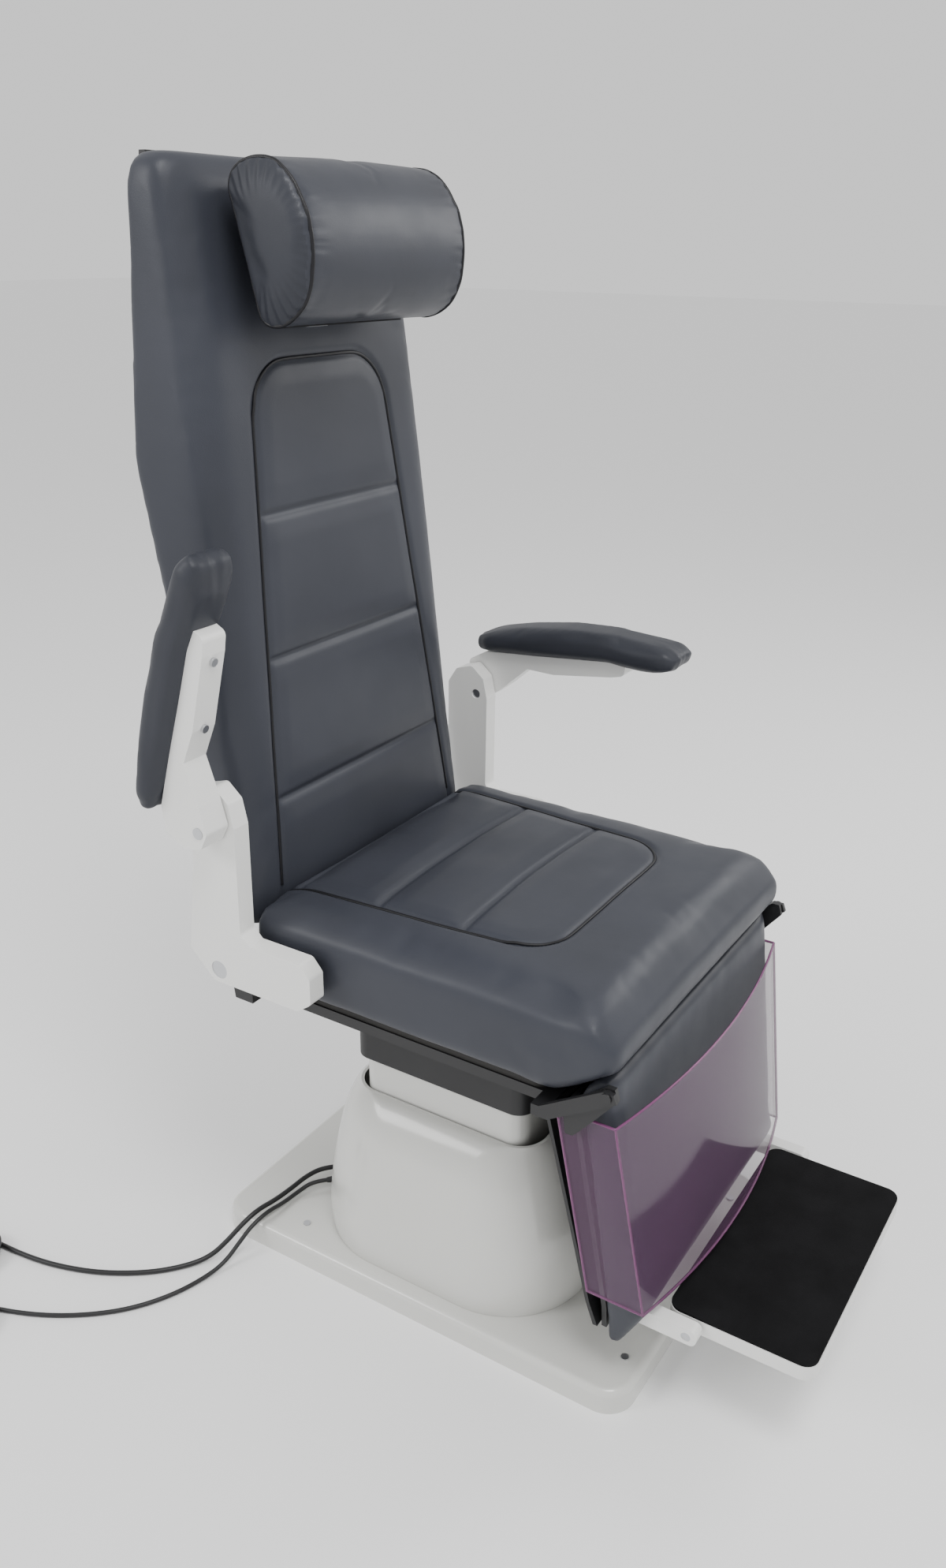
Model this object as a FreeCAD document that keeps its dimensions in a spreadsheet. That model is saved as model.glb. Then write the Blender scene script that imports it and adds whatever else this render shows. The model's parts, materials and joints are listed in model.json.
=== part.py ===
import FreeCAD, Part
import math
import os
import Sketcher

# Motorised examination chair. Millimetres. +Z is up and the sitter faces -Y. The origin is on the floor, on the
# swivel axis. Every sub-part is an object of this document whose sizes come from the sheet "dims".

Vector = FreeCAD.Vector
X_AXIS = Vector(1, 0, 0)
Y_AXIS = Vector(0, 1, 0)
Z_AXIS = Vector(0, 0, 1)

DIMENSIONS = {
    # base
    "plate_half_x": 235, "plate_front": -319, "plate_rear": 307, "plate_top": 34, "plate_round": 38,
    "wall": 4, "steel": 12,
    "cover_half_x": 212, "cover_half_y": 190, "cover_mid_y": -5, "cover_top": 262, "cover_round": 120,
    # lift column
    "upper_half_x": 150, "upper_half_y": 121, "upper_top": 310, "upper_low": 48, "upper_round": 22,
    "column_half": 70, "column_wall": 6, "column_gap": 1, "column_top": 288, "head_z": 296,
    "pivot_radius": 20, "pivot_gap": 0.06,
    # seat
    "seat_half": 260, "seat_top": 551, "seat_under": 432, "seat_rear": 204, "seat_front": -299,
    "seat_lip": 490, "seat_slope": -205, "board": 8, "frame_low": 410, "frame_high": 424,
    # hinges
    "back_y": 225, "back_z": 470, "leg_y": -285, "leg_z": 466, "shaft": 12, "run_gap": 0.05,
    "lever": 70.7, "lever_pin": 6, "rod_x": 188, "rod_wide": 10,
    # back
    "back_low": 494, "back_high": 1385, "back_half_low": 242, "back_half_high": 216, "back_front_low": 200,
    "back_front_high": 298.5, "shell": 9,
    # legrest
    "calf_half_high": 236, "calf_half_low": 204, "guard_half_high": 242, "guard_half_low": 220,
    "guard_high": 418, "guard_low": 160, "guard_wall": 3, "guard_bow": 27, "guard_wing": 72,
    "foot_y": -375, "foot_z": 134, "foot_half": 174, "foot_front": -519, "foot_rear": -340,
    "foot_low": 124, "foot_high": 143, "mat": 3,
    # arms
    "arm_y": 206, "arm_z": 672, "arm_pin": 7, "arm_lowered": 68, "bracket_in": 264, "bracket_thick": 25,
    "arm_in": 291, "arm_thick": 36, "arm_pad_in": 270, "arm_pad_wide": 80,
    # headrest
    "pillow_half": 156, "tilt_y": 259, "tilt_z": 1222, "tilt_pin": 5,
    # cords
    "mains_wire": 7, "control_wire": 6,
}

BACK_REAR = [(440, 252.5), (674, 293), (1055, 383), (1385, 361)]

doc = FreeCAD.newDocument("examination_chair")
sheet = doc.addObject("Spreadsheet::Sheet", "dims")
for row, (alias, number) in enumerate(DIMENSIONS.items(), start=1):
    sheet.set(f"A{row}", alias)
    sheet.set(f"B{row}", str(number))
    sheet.setAlias(f"B{row}", alias)
doc.recompute()

parts = []


def words(expression):
    """An expression in the sheet's aliases, with the sheet's name put before each alias."""
    text = str(expression)
    out = []
    word = ""
    for letter in text + " ":
        if letter.isalnum() or letter in "_.":
            word += letter
            continue
        out.append("dims." + word if word in DIMENSIONS else word)
        word = ""
        out.append(letter)
    return "".join(out).strip()


def value(expression):
    """The number that an expression in the sheet's aliases comes to."""
    number = sheet.evalExpression(words(expression))
    return float(getattr(number, "Value", number))


def bind(thing, **expressions):
    for name, expression in expressions.items():
        thing.setExpression(name.replace("__", "."), words(expression))


def keep(thing, label):
    """Names a finished sub-part, which is then written to a file of that name."""
    thing.Label = label
    parts.append(thing)
    return thing


# ---- sketches and padded outlines ----------------------------------------------------------------------------


def new_body(name):
    return doc.addObject("PartDesign::Body", name + "_body")


def new_sketch(body, name, role, offset=0):
    plane = [feature for feature in body.Origin.OriginFeatures if feature.Role == role][0]
    sketch = body.newObject("Sketcher::SketchObject", name)
    sketch.AttachmentSupport = (plane, "")
    sketch.MapMode = "FlatFace"
    if offset:
        bind(sketch, AttachmentOffset__Base__z=offset)
    return sketch


def pin_vertex(sketch, edge, end, point, label):
    """Holds one end of an edge at a point whose coordinates are numbers or sheet expressions."""
    kinds = (("DistanceX", "x", point[0]), ("DistanceY", "y", point[1]))
    for kind, letter, expression in kinds:
        index = sketch.addConstraint(Sketcher.Constraint(kind, -1, 1, edge, end, value(expression)))
        if isinstance(expression, str):
            sketch.renameConstraint(index, letter + label)
            bind(sketch, **{"Constraints__" + letter + label: expression})


def polygon(sketch, points, tag="p"):
    """A closed outline of straight edges."""
    flat = [Vector(value(a), value(b), 0) for a, b in points]
    first = sketch.GeometryCount
    for index, start in enumerate(flat):
        sketch.addGeometry(Part.LineSegment(start, flat[(index + 1) % len(flat)]))
    for index in range(len(flat)):
        following = first + (index + 1) % len(flat)
        sketch.addConstraint(Sketcher.Constraint("Coincident", first + index, 2, following, 1))
        pin_vertex(sketch, first + index, 1, points[index], f"{tag}{index}")


def edges_where(shape, test):
    return [f"Edge{number}" for number, edge in enumerate(shape.Edges, start=1) if test(edge)]


def rounded(body, feature, radius, test):
    """Rounds the edges of a feature that pass a test."""
    doc.recompute()
    fillet = body.newObject("PartDesign::Fillet", feature.Name + "_round")
    fillet.Base = (feature, edges_where(feature.Shape, test))
    bind(fillet, Radius=radius)
    doc.recompute()
    return fillet


def along(direction):
    """A test for straight edges that run along a direction."""
    def test(edge):
        if edge.Curve.TypeId != "Part::GeomLine":
            return False
        return abs(abs(edge.Curve.Direction.dot(direction)) - 1) < 1e-6
    return test


def near(direction, corners, a_axis, b_axis):
    """A test for edges along a direction that stand at one of the given corners of the outline."""
    straight = along(direction)
    spots = [(value(a), value(b)) for a, b in corners]

    def test(edge):
        if not straight(edge):
            return False
        at = edge.Vertexes[0].Point
        here = (at.dot(a_axis), at.dot(b_axis))
        return any(math.dist(here, spot) < 0.01 for spot in spots)
    return test


def side_plate(label, outline, inner, thickness, corners=(), radius=0, mirror=False, hidden=False):
    """An outline in the YZ plane, padded along X from `inner` outwards; the right one goes to -X."""
    body = new_body(label)
    sketch = new_sketch(body, label + "_outline", "YZ_Plane")
    polygon(sketch, outline)
    pad = body.newObject("PartDesign::Pad", label + "_pad")
    pad.Profile = sketch
    bind(pad, Length=thickness)
    start = f"-({inner}) - ({thickness})" if mirror else inner
    bind(body, Placement__Base__x=start)
    if corners:
        rounded(body, pad, radius, near(X_AXIS, corners, Y_AXIS, Z_AXIS))
    doc.recompute()
    return body if hidden else keep(body, label)


def wide_plate(label, outline, half_width, corners=(), radius=0, hidden=False):
    """An outline in the YZ plane, padded to both sides of the middle plane."""
    body = new_body(label)
    sketch = new_sketch(body, label + "_outline", "YZ_Plane")
    polygon(sketch, outline)
    pad = body.newObject("PartDesign::Pad", label + "_pad")
    pad.Profile = sketch
    pad.Midplane = True
    bind(pad, Length=f"2 * ({half_width})")
    if corners:
        rounded(body, pad, radius, near(X_AXIS, corners, Y_AXIS, Z_AXIS))
    doc.recompute()
    return body if hidden else keep(body, label)


def front_mask(label, half_low, half_high, z_low, z_high):
    """A trapezium seen from the front, as deep as the chair, that trims a piece's sides."""
    body = new_body(label)
    sketch = new_sketch(body, label + "_outline", "XZ_Plane")
    polygon(sketch, [(f"-({half_low})", z_low), (half_low, z_low), (half_high, z_high), (f"-({half_high})", z_high)])
    pad = body.newObject("PartDesign::Pad", label + "_pad")
    pad.Profile = sketch
    pad.Midplane = True
    pad.Length = 1600
    doc.recompute()
    return body


# ---- primitives and booleans ---------------------------------------------------------------------------------


def block(name, low, high):
    """A box between two corners, each coordinate a number or a sheet expression."""
    box = doc.addObject("Part::Box", name)
    for letter, side, a, b in zip("xyz", ("Length", "Width", "Height"), low, high):
        bind(box, **{side: f"({b}) - ({a})", "Placement__Base__" + letter: str(a)})
    doc.recompute()
    return box


def rod(name, radius, start, length, axis=Z_AXIS):
    """A cylinder from a start point along an axis."""
    cylinder = doc.addObject("Part::Cylinder", name)
    cylinder.Placement.Rotation = FreeCAD.Rotation(Z_AXIS, axis)
    bind(cylinder, Radius=radius, Height=length)
    for letter, coordinate in zip("xyz", start):
        bind(cylinder, **{"Placement__Base__" + letter: str(coordinate)})
    doc.recompute()
    return cylinder


def fuse(name, shapes):
    joined = doc.addObject("Part::MultiFuse", name)
    joined.Shapes = shapes
    doc.recompute()
    return joined


def cut(name, base, tools):
    tool = tools[0] if len(tools) == 1 else fuse(name + "_tools", tools)
    result = doc.addObject("Part::Cut", name)
    result.Base = base
    result.Tool = tool
    doc.recompute()
    return result


def common(name, base, tool):
    result = doc.addObject("Part::Common", name)
    result.Base = base
    result.Tool = tool
    doc.recompute()
    return result


def group(name, shapes):
    """Identical pieces that stay separate solids in one sub-part."""
    together = doc.addObject("Part::Compound", name)
    together.Links = shapes
    doc.recompute()
    return together


# ---- base ----------------------------------------------------------------------------------------------------


def rounded_rectangle(sketch, half_a, half_b, radius, mid_b=0):
    """A rectangle with quarter-circle corners, centred on the first axis and at mid_b on the second."""
    a, b, r, mid = (value(item) for item in (half_a, half_b, radius, mid_b))
    quarter = math.pi / 2
    centres = [(a - r, b - r), (r - a, b - r), (r - a, r - b), (a - r, r - b)]
    for index, (x, y) in enumerate(centres):
        circle = Part.Circle(Vector(x, y + mid, 0), Z_AXIS, r)
        sketch.addGeometry(Part.ArcOfCircle(circle, index * quarter, (index + 1) * quarter))
    ends = [((a - r, b), (r - a, b)), ((-a, b - r), (-a, r - b)), ((r - a, -b), (a - r, -b)), ((a, r - b), (a, b - r))]
    for start, end in ends:
        sketch.addGeometry(Part.LineSegment(Vector(start[0], start[1] + mid, 0), Vector(end[0], end[1] + mid, 0)))
    for index in range(4):
        sketch.addConstraint(Sketcher.Constraint("Tangent", index, 2, 4 + index, 1))
        sketch.addConstraint(Sketcher.Constraint("Tangent", 4 + index, 2, (index + 1) % 4, 1))
        sketch.addConstraint(Sketcher.Constraint("Radius", index, r))
    limits = [(4, 1, "DistanceY", f"({half_b}) + ({mid_b})", "top"), (6, 1, "DistanceY", f"({mid_b}) - ({half_b})", "low"),
              (7, 1, "DistanceX", half_a, "right"), (5, 1, "DistanceX", f"-({half_a})", "left")]
    for edge, end, kind, expression, label in limits:
        index = sketch.addConstraint(Sketcher.Constraint(kind, -1, 1, edge, end, value(expression)))
        sketch.renameConstraint(index, label)
        bind(sketch, **{"Constraints__" + label: str(expression)})


def slab(label, half_x, half_y, mid_y, radius, z_low, height, hidden=False):
    """A flat plate with rounded corners."""
    body = new_body(label)
    sketch = new_sketch(body, label + "_outline", "XY_Plane")
    rounded_rectangle(sketch, half_x, half_y, radius, mid_y)
    pad = body.newObject("PartDesign::Pad", label + "_pad")
    pad.Profile = sketch
    bind(pad, Length=height)
    bind(body, Placement__Base__z=z_low)
    doc.recompute()
    return body if hidden else keep(body, label)


def base_plate():
    """A floor skirt moulded over a steel ground plate, with four screws holding the skirt."""
    half_y = "(plate_rear - plate_front) / 2"
    mid_y = "(plate_rear + plate_front) / 2"
    slab("ground_plate", "plate_half_x - 7", f"{half_y} - 7", mid_y, "plate_round - 7", 0, "steel")
    outer = slab("skirt_outer", "plate_half_x", half_y, mid_y, "plate_round", 0, "plate_top", hidden=True)
    top = value("plate_top")
    rounded(outer, outer.Tip, 9, lambda edge: edge.BoundBox.ZMin > top - 0.1)
    inner = slab("skirt_inner", "plate_half_x - 6", f"{half_y} - 6", mid_y, "plate_round - 6", -1,
                 "plate_top - wall + 1", hidden=True)
    well = block("skirt_well", ("-column_half - 8", "-column_half - 8", -1), ("column_half + 8", "column_half + 8", 50))
    keep(cut("skirt_cut", outer, [inner, well]), "base_skirt")
    screws = []
    for index, (x, y) in enumerate(((-198, 182), (198, 182), (-171, -292), (171, -292))):
        screws.append(rod(f"skirt_screw_{index}", 5, (x, y, "plate_top + 0.1"), 1.6))
    keep(group("skirt_screw_group", screws), "skirt_screws")


COVER_LEVELS = [  # height share, half-width share, corner radius share
    (0.0, 1.0, 1.0), (0.2, 1.01, 1.0), (0.5, 0.975, 0.97), (0.75, 0.92, 0.9), (0.9, 0.85, 0.76), (0.97, 0.785, 0.56),
    (1.0, 0.735, 0.34),
]


def cover_loft(body, kind, inset, label):
    """The pillow-shaped cover, lofted through rounded rectangles that narrow towards the top."""
    sketches = []
    for index, (height, wide, round_) in enumerate(COVER_LEVELS):
        z = f"plate_top + 0.3 + {height} * (cover_top - plate_top)"
        sketch = new_sketch(body, f"{label}_level_{index}", "XY_Plane", z)
        rounded_rectangle(sketch, f"cover_half_x * {wide} - {inset}", f"cover_half_y * {wide} - {inset}",
                          f"cover_round * {round_} - {inset}", "cover_mid_y")
        sketches.append(sketch)
    doc.recompute()
    loft = body.newObject(kind, label)
    loft.Profile = sketches[0]
    loft.Sections = sketches[1:]
    doc.recompute()
    return loft


def base_cover():
    """A hollow pillow-shaped shell that is open below, with a mouth on top for the telescoping cover."""
    body = new_body("base_cover")
    cover_loft(body, "PartDesign::AdditiveLoft", 0, "cover_outside")
    full = body.Shape.Volume
    cover_loft(body, "PartDesign::SubtractiveLoft", value("wall"), "cover_inside")
    assert body.Shape.Volume < 0.3 * full, "the base cover is not hollow"
    keep(body, "base_cover")


def box_tube(name, half, wall, z_low, z_high):
    outer = block(name + "_outer", (f"-({half})", f"-({half})", z_low), (half, half, z_high))
    hollow = f"({half}) - ({wall})"
    inner = block(name + "_inner", (f"-({hollow})", f"-({hollow})", f"({z_low}) - 1"), (hollow, hollow, f"({z_high}) + 1"))
    return cut(name, outer, [inner])


def lift_column():
    """Fixed outer tube, inner tube that rises in it, spindle drive beside a motor inside them."""
    keep(box_tube("outer_tube", "column_half", "column_wall", "steel + 0.2", "column_top"), "outer_column")
    half = "column_half - column_wall - column_gap"
    keep(box_tube("inner_tube", half, 5, "steel + 12", "head_z"), "inner_column")
    gearbox = block("gearbox", (-50, -26, "steel + 0.2"), (50, 26, "steel + 22"))
    keep(gearbox, "lift_gearbox")
    keep(rod("lift_motor_can", 24, (28, 0, "steel + 22"), 120), "lift_motor")
    keep(rod("spindle", 9, (-26, 0, "steel + 22"), "column_top - steel - 26"), "lift_spindle")
    push = rod("push_outer", 16, (-26, 0, "steel + 30"), "head_z - steel - 30")
    bore = rod("push_bore", "9 + run_gap", (-26, 0, "steel + 29"), "head_z - steel")
    keep(cut("push_cut", push, [bore]), "lift_nut_tube")
    keep(block("head", (-84, -84, "head_z + 0.2"), (84, 84, "upper_top - 4.2")), "lift_head")
    upper_cover()
    keep(rod("post", "pivot_radius", (0, 0, "upper_top - 4"), 46), "swivel_post")
    ring = rod("race_outer", 66, (0, 0, "upper_top - 4"), 11)
    hole = rod("race_hole", 44, (0, 0, "upper_top - 5"), 13)
    keep(cut("race", ring, [hole]), "bearing_lower_ring")


def upper_cover():
    """The white box that slides out of the base cover: four walls and a top with a round hole for the bearing."""
    height = "upper_top - upper_low"
    outer = slab("upper_outer", "upper_half_x", "upper_half_y", "cover_mid_y", "upper_round", "upper_low", height,
                 hidden=True)
    top = value(height)
    rounded(outer, outer.Tip, 6, lambda edge: edge.BoundBox.ZMin > top - 0.1)
    inner = slab("upper_inner", "upper_half_x - wall", "upper_half_y - wall", "cover_mid_y", "upper_round - wall",
                 "upper_low - 1", f"{height} - 3", hidden=True)
    hole = rod("upper_hole", 72, (0, 0, "upper_top - 20"), 40)
    keep(cut("upper_cut", outer, [inner, hole]), "upper_cover")


# ---- cords ---------------------------------------------------------------------------------------------------

MAINS_ROUTE = [
    (-88, 207.5, 46), (-103, 225.5, 46), (-128, 237, 44), (-160, 241, 41), (-194, 243, 43), (-226, 247, 47),
    (-252, 253, 38), (-274, 261, 22), (-297, 272, 7), (-325, 289, 3.8), (-362, 322, 3.8), (-398, 376, 3.8),
    (-421, 436, 3.8), (-432, 492, 3.8), (-436, 545, 3.8),
]
CONTROL_ROUTE = [
    (-123, 205.8, 46), (-137, 221, 45.5), (-160, 229, 40), (-190, 231, 41), (-220, 234, 46), (-248, 239, 39),
    (-271, 243, 24), (-297, 247, 8), (-328, 254, 3.3), (-374, 268, 3.3), (-424, 298, 3.3), (-468, 346, 3.3),
    (-501, 402, 3.3), (-524, 455, 3.3),
]
MAINS_COIL = (-478, 556)
CONTROL_COIL = (-560, 462)


def cord_path(route, label):
    """Straight runs joined by tangent arcs, each arc as large as its two runs allow."""
    points = [Vector(*point) for point in route]
    edges = []
    radii = []
    here = points[0]
    for before, corner, after in zip(points, points[1:], points[2:]):
        back = before - corner
        ahead = after - corner
        turn = math.pi - back.getAngle(ahead)
        reach = 0.45 * min(back.Length, ahead.Length)
        radii.append(reach / math.tan(turn / 2))
        start = corner + back.normalize() * reach
        end = corner + ahead.normalize() * reach
        inward = (back + ahead).normalize()
        middle = corner + inward * (radii[-1] / math.cos(turn / 2) - radii[-1])
        edges.append(Part.LineSegment(here, start).toShape())
        edges.append(Part.Arc(start, middle, end).toShape())
        here = end
    edges.append(Part.LineSegment(here, points[-1]).toShape())
    print(label, "arc radii", [round(radius) for radius in radii])
    return Part.Wire(edges)


def cord_tube(label, route, wire):
    path = cord_path(route, label)
    start = Vector(*route[0])
    heading = Vector(*route[1]) - start
    circle = Part.Wire(Part.Circle(start, heading, value(wire) / 2).toShape())
    tube = doc.addObject("Part::Feature", label + "_tube")
    tube.Shape = path.makePipeShell([circle], True, False)
    section = math.pi * (value(wire) / 2) ** 2
    assert abs(tube.Shape.Volume / (section * path.Length) - 1) < 0.01, label + " has a bad volume"
    print(label, "tube length", round(path.Length))
    keep(tube, label)


def coil_ring(label, centre, inner, outer, height):
    """The outer shape of a tied coil."""
    ring = rod(label + "_outer", outer, (*centre, 0.3), height)
    hole = rod(label + "_hole", inner, (*centre, -1), f"{height} + 3")
    keep(cut(label + "_ring", ring, [hole]), label)


def tapered_relief(label, tip, heading, wire):
    """A strain relief that narrows from a collar in the cover's rear wall to the cord."""
    direction = Vector(*heading).normalize()
    length = 27
    start = Vector(*tip) - direction * length
    cone = doc.addObject("Part::Cone", label + "_cone")
    bind(cone, Radius1=f"{wire} * 1.15", Radius2=f"{wire} * 0.62", Height=length)
    cone.Placement = FreeCAD.Placement(start, FreeCAD.Rotation(Z_AXIS, direction))
    doc.recompute()
    keep(cone, label)


def mains_plug():
    """A generic two-pin plug that lies on its side against its coil."""
    x, y = MAINS_COIL
    tail_x = x - 49
    shell = doc.addObject("Part::Cone", "plug_shell")
    shell.Radius1 = 9
    shell.Radius2 = 17
    shell.Height = 38
    shell.Placement = FreeCAD.Placement(Vector(tail_x, y + 24, 17.3), FreeCAD.Rotation(Z_AXIS, Y_AXIS))
    face = rod("plug_face", 17, (tail_x, y + 62, 17.3), 7, Y_AXIS)
    prongs = [rod(f"plug_prong_{side}", 2.4, (tail_x + side * 9.5, y + 69, 17.3), 19, Y_AXIS) for side in (-1, 1)]
    relief = rod("plug_relief", 5.5, (tail_x, y, 17.3), 24, Y_AXIS)
    keep(fuse("plug", [relief, shell, face] + prongs), "mains_plug")


def control_connector():
    """A round locking connector for the foot control, on its side against its coil."""
    x, y = CONTROL_COIL
    tail_x = x - 48
    relief = rod("connector_relief", 4.6, (tail_x, y, 9.3), 18, Y_AXIS)
    barrel = rod("connector_barrel", 8, (tail_x, y + 18, 9.3), 16, Y_AXIS)
    ring = rod("connector_ring", 9, (tail_x, y + 34, 9.3), 14, Y_AXIS)
    keep(fuse("connector", [relief, barrel, ring]), "control_connector")


def cords():
    tapered_relief("mains_relief", MAINS_ROUTE[0], (-15, 18, 0), "mains_wire")
    tapered_relief("control_relief", CONTROL_ROUTE[0], (-14, 15.2, -0.5), "control_wire")
    cord_tube("mains_cord", MAINS_ROUTE, "mains_wire")
    cord_tube("control_cord", CONTROL_ROUTE, "control_wire")
    coil_ring("mains_coil", MAINS_COIL, 31.5, 45.5, 21)
    coil_ring("control_coil", CONTROL_COIL, 27, 39, 12)
    mains_plug()
    control_connector()


# ---- seat ----------------------------------------------------------------------------------------------------


def turntable():
    disc = rod("turntable_disc", 100, (0, 0, "upper_top + 8"), 10)
    hub = rod("turntable_hub", 32, (0, 0, "upper_top + 8"), 40)
    bore = rod("turntable_bore", "pivot_radius + pivot_gap", (0, 0, "upper_top"), 60)
    keep(cut("turntable_cut", fuse("turntable_body", [disc, hub]), [bore]), "turntable")


def chassis_skirt():
    """The black skirt between the lift cover and the seat, a four-walled shell."""
    outer = slab("chassis_outer", "upper_half_x + 8", "upper_half_y + 8", "cover_mid_y", "upper_round",
                 "upper_top + 3", "frame_low - upper_top - 3.2", hidden=True)
    inner = slab("chassis_inner", "upper_half_x + 4", "upper_half_y + 4", "cover_mid_y", "upper_round - 4",
                 "upper_top + 1", "frame_low - upper_top + 4", hidden=True)
    keep(cut("chassis_cut", outer, [inner]), "chassis_skirt")


def lever_slot(name):
    """The room that the back's lever needs as the back reclines."""
    return block(name, (168, 150, "frame_low - 5"), (205.5, 240, 470))


def seat_frame():
    """Welded frame under the seat: two rails, cross bars, a turntable pedestal and the ears for both hinges."""
    pieces = []
    for side in (-1, 1):
        low, high = sorted((side * 206, side * 230))
        pieces.append(block(f"rail_{side}", (low, -215, "frame_low"), (high, 208, "frame_high")))
    bars = {"front": (-215, -195, 257), "middle": (-70, -50, 210), "hub": (50, 70, 210), "rear": (206, 228, 254)}
    for name, (y_low, y_high, half) in bars.items():
        pieces.append(block(f"bar_{name}", (-half, y_low, "frame_low"), (half, y_high, "frame_high")))
    for side in (-1, 1):
        low, high = sorted((side * 60, side * 84))
        pieces.append(block(f"pedestal_{side}", (low, -70, "upper_top + 18"), (high, 70, "frame_high")))
    rear_ear = [(206, "frame_low"), (234, "frame_low"), ("back_y + 19", "back_z"), ("back_y + 12", "back_z + 18"),
                ("back_y - 10", "back_z + 18"), (206, "back_z + 6")]
    front_ear = [(-195, "frame_low"), (-215, "frame_low"), (-297, "leg_z - 4"), (-293, "leg_z + 6"),
                 (-280, "leg_z + 6"), (-205, "frame_high")]
    for mirror in (True, False):
        side = "right" if mirror else "left"
        pieces.append(side_plate(f"rear_ear_{side}", rear_ear, 246, 8, mirror=mirror, hidden=True))
        pieces.append(side_plate(f"front_ear_{side}", front_ear, 251, 6, mirror=mirror, hidden=True))
    drills = [lever_slot("frame_slot"),
              rod("rear_drill", "shaft + run_gap", (-300, "back_y", "back_z"), 600, X_AXIS),
              rod("front_drill", "lever_pin + run_gap", (-300, "leg_y", "leg_z"), 600, X_AXIS)]
    keep(cut("seat_frame_cut", fuse("seat_frame_weld", pieces), drills), "seat_frame")


def seat_upholstery():
    board = slab("seat_board_blank", "seat_half - 32", "(seat_rear - seat_slope) / 2 - 4",
                 "(seat_rear + seat_slope) / 2", 20, "seat_under - board + 0.2", "board - 0.4", hidden=True)
    keep(cut("seat_board_cut", board, [lever_slot("board_slot")]), "seat_board")
    outline = [("seat_rear", "seat_under"), ("seat_rear", "seat_top - 3"), (-262, "seat_top"), (-290, "seat_top - 14"),
               ("seat_front", "seat_top - 34"), ("seat_front", "seat_lip"), ("seat_slope", "seat_under")]
    pad = wide_plate("seat_pad_blank", outline, "seat_half", [(-262, "seat_top"), (-290, "seat_top - 14")], 12,
                     hidden=True)
    keep(cut("seat_pad_cut", pad, [lever_slot("pad_slot")]), "seat_pad")


def hinge_hardware():
    """The fixed shaft of the back, its end caps, and the two pins of the legrest."""
    keep(rod("hinge_shaft", "shaft", ("-bracket_in - bracket_thick + 1", "back_y", "back_z"),
             "2 * (bracket_in + bracket_thick) - 2", X_AXIS), "back_hinge_shaft")
    pins = []
    for side, start in (("right", -259), ("left", 243)):
        pins.append(rod(f"leg_pin_{side}", "lever_pin", (start, "leg_y", "leg_z"), 16, X_AXIS))
    keep(group("leg_pins", pins), "legrest_hinge_pins")
    can = rod("recline_can", 17, (-120, 97, 386), 135, X_AXIS)
    gear = block("recline_gear", (12, 78, 364), (70, 116, "frame_low - 1"))
    keep(fuse("recline_drive", [can, gear]), "recline_motor")


BRACKET = [(98, 518), (174, 518), (187, 530), (187, 667), (194, 697), (214, 714), (240, 706), (254, 684), (254, 616),
           (270, 488), (234, 453), (104, 453), (84, 468), (84, 502)]


def arm_bracket(side, mirror):
    body = side_plate(f"{side}_bracket_plate", BRACKET, "bracket_in", "bracket_thick",
                      [(187, 530), (194, 697), (214, 714), (240, 706), (254, 684), (270, 488), (234, 453), (104, 453),
                       (84, 468), (84, 502), (98, 518)], 7, mirror=mirror, hidden=True)
    start = -320 if mirror else 240
    drills = [rod(f"{side}_shaft_hole", "shaft + run_gap", (start, "back_y", "back_z"), 80, X_AXIS),
              rod(f"{side}_arm_hole", "arm_pin + run_gap", (start, "arm_y", "arm_z"), 80, X_AXIS)]
    keep(cut(f"{side}_bracket", body, drills), f"{side}_arm_bracket")


# ---- back ----------------------------------------------------------------------------------------------------


def back_front(z):
    """The y of the back's front face at a height: the back leans by about six degrees."""
    share = (z - value("back_low")) / (value("back_high") - value("back_low"))
    return value("back_front_low") + share * (value("back_front_high") - value("back_front_low"))


def rear_line(z):
    """The y of the back's rear face at a height."""
    for (z_low, y_low), (z_high, y_high) in zip(BACK_REAR, BACK_REAR[1:]):
        if z <= z_high:
            return y_low + (z - z_low) / (z_high - z_low) * (y_high - y_low)
    return BACK_REAR[-1][1]


def rear_band(near_offset, far_offset, z_low, z_high):
    """The outline of a layer that follows the back's rear face."""
    heights = [z_low] + [z for z, _ in BACK_REAR if z_low < z < z_high] + [z_high]
    far_side = [(rear_line(z) - far_offset, z) for z in heights]
    near_side = [(rear_line(z) - near_offset, z) for z in reversed(heights)]
    return far_side + near_side


def back_pad():
    low, high = value("back_low"), value("back_high")
    rear = [(rear_line(z) - 1, z) for z in (high, 1055, 674, low + 8)]
    front = [("back_front_low + 8", "back_low"), ("back_front_high", "back_high - 10"),
             ("back_front_high + 12", "back_high")]
    blank = wide_plate("back_pad_blank", front + rear, "back_half_low", hidden=True)
    mask = front_mask("back_mask", "back_half_low", "back_half_high", "back_low", "back_high")
    pocket = wide_plate("back_pocket_blank", rear_band(17, -6, 440, 1381), "back_half_low", hidden=True)
    pocket_mask = front_mask("pocket_mask", "back_half_low - 34", "back_half_high - 32", 440, "back_high")
    trimmed = common("back_pad_trim", blank, mask)
    keep(cut("back_pad_cut", trimmed, [common("back_pocket", pocket, pocket_mask)]), "back_pad")


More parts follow.
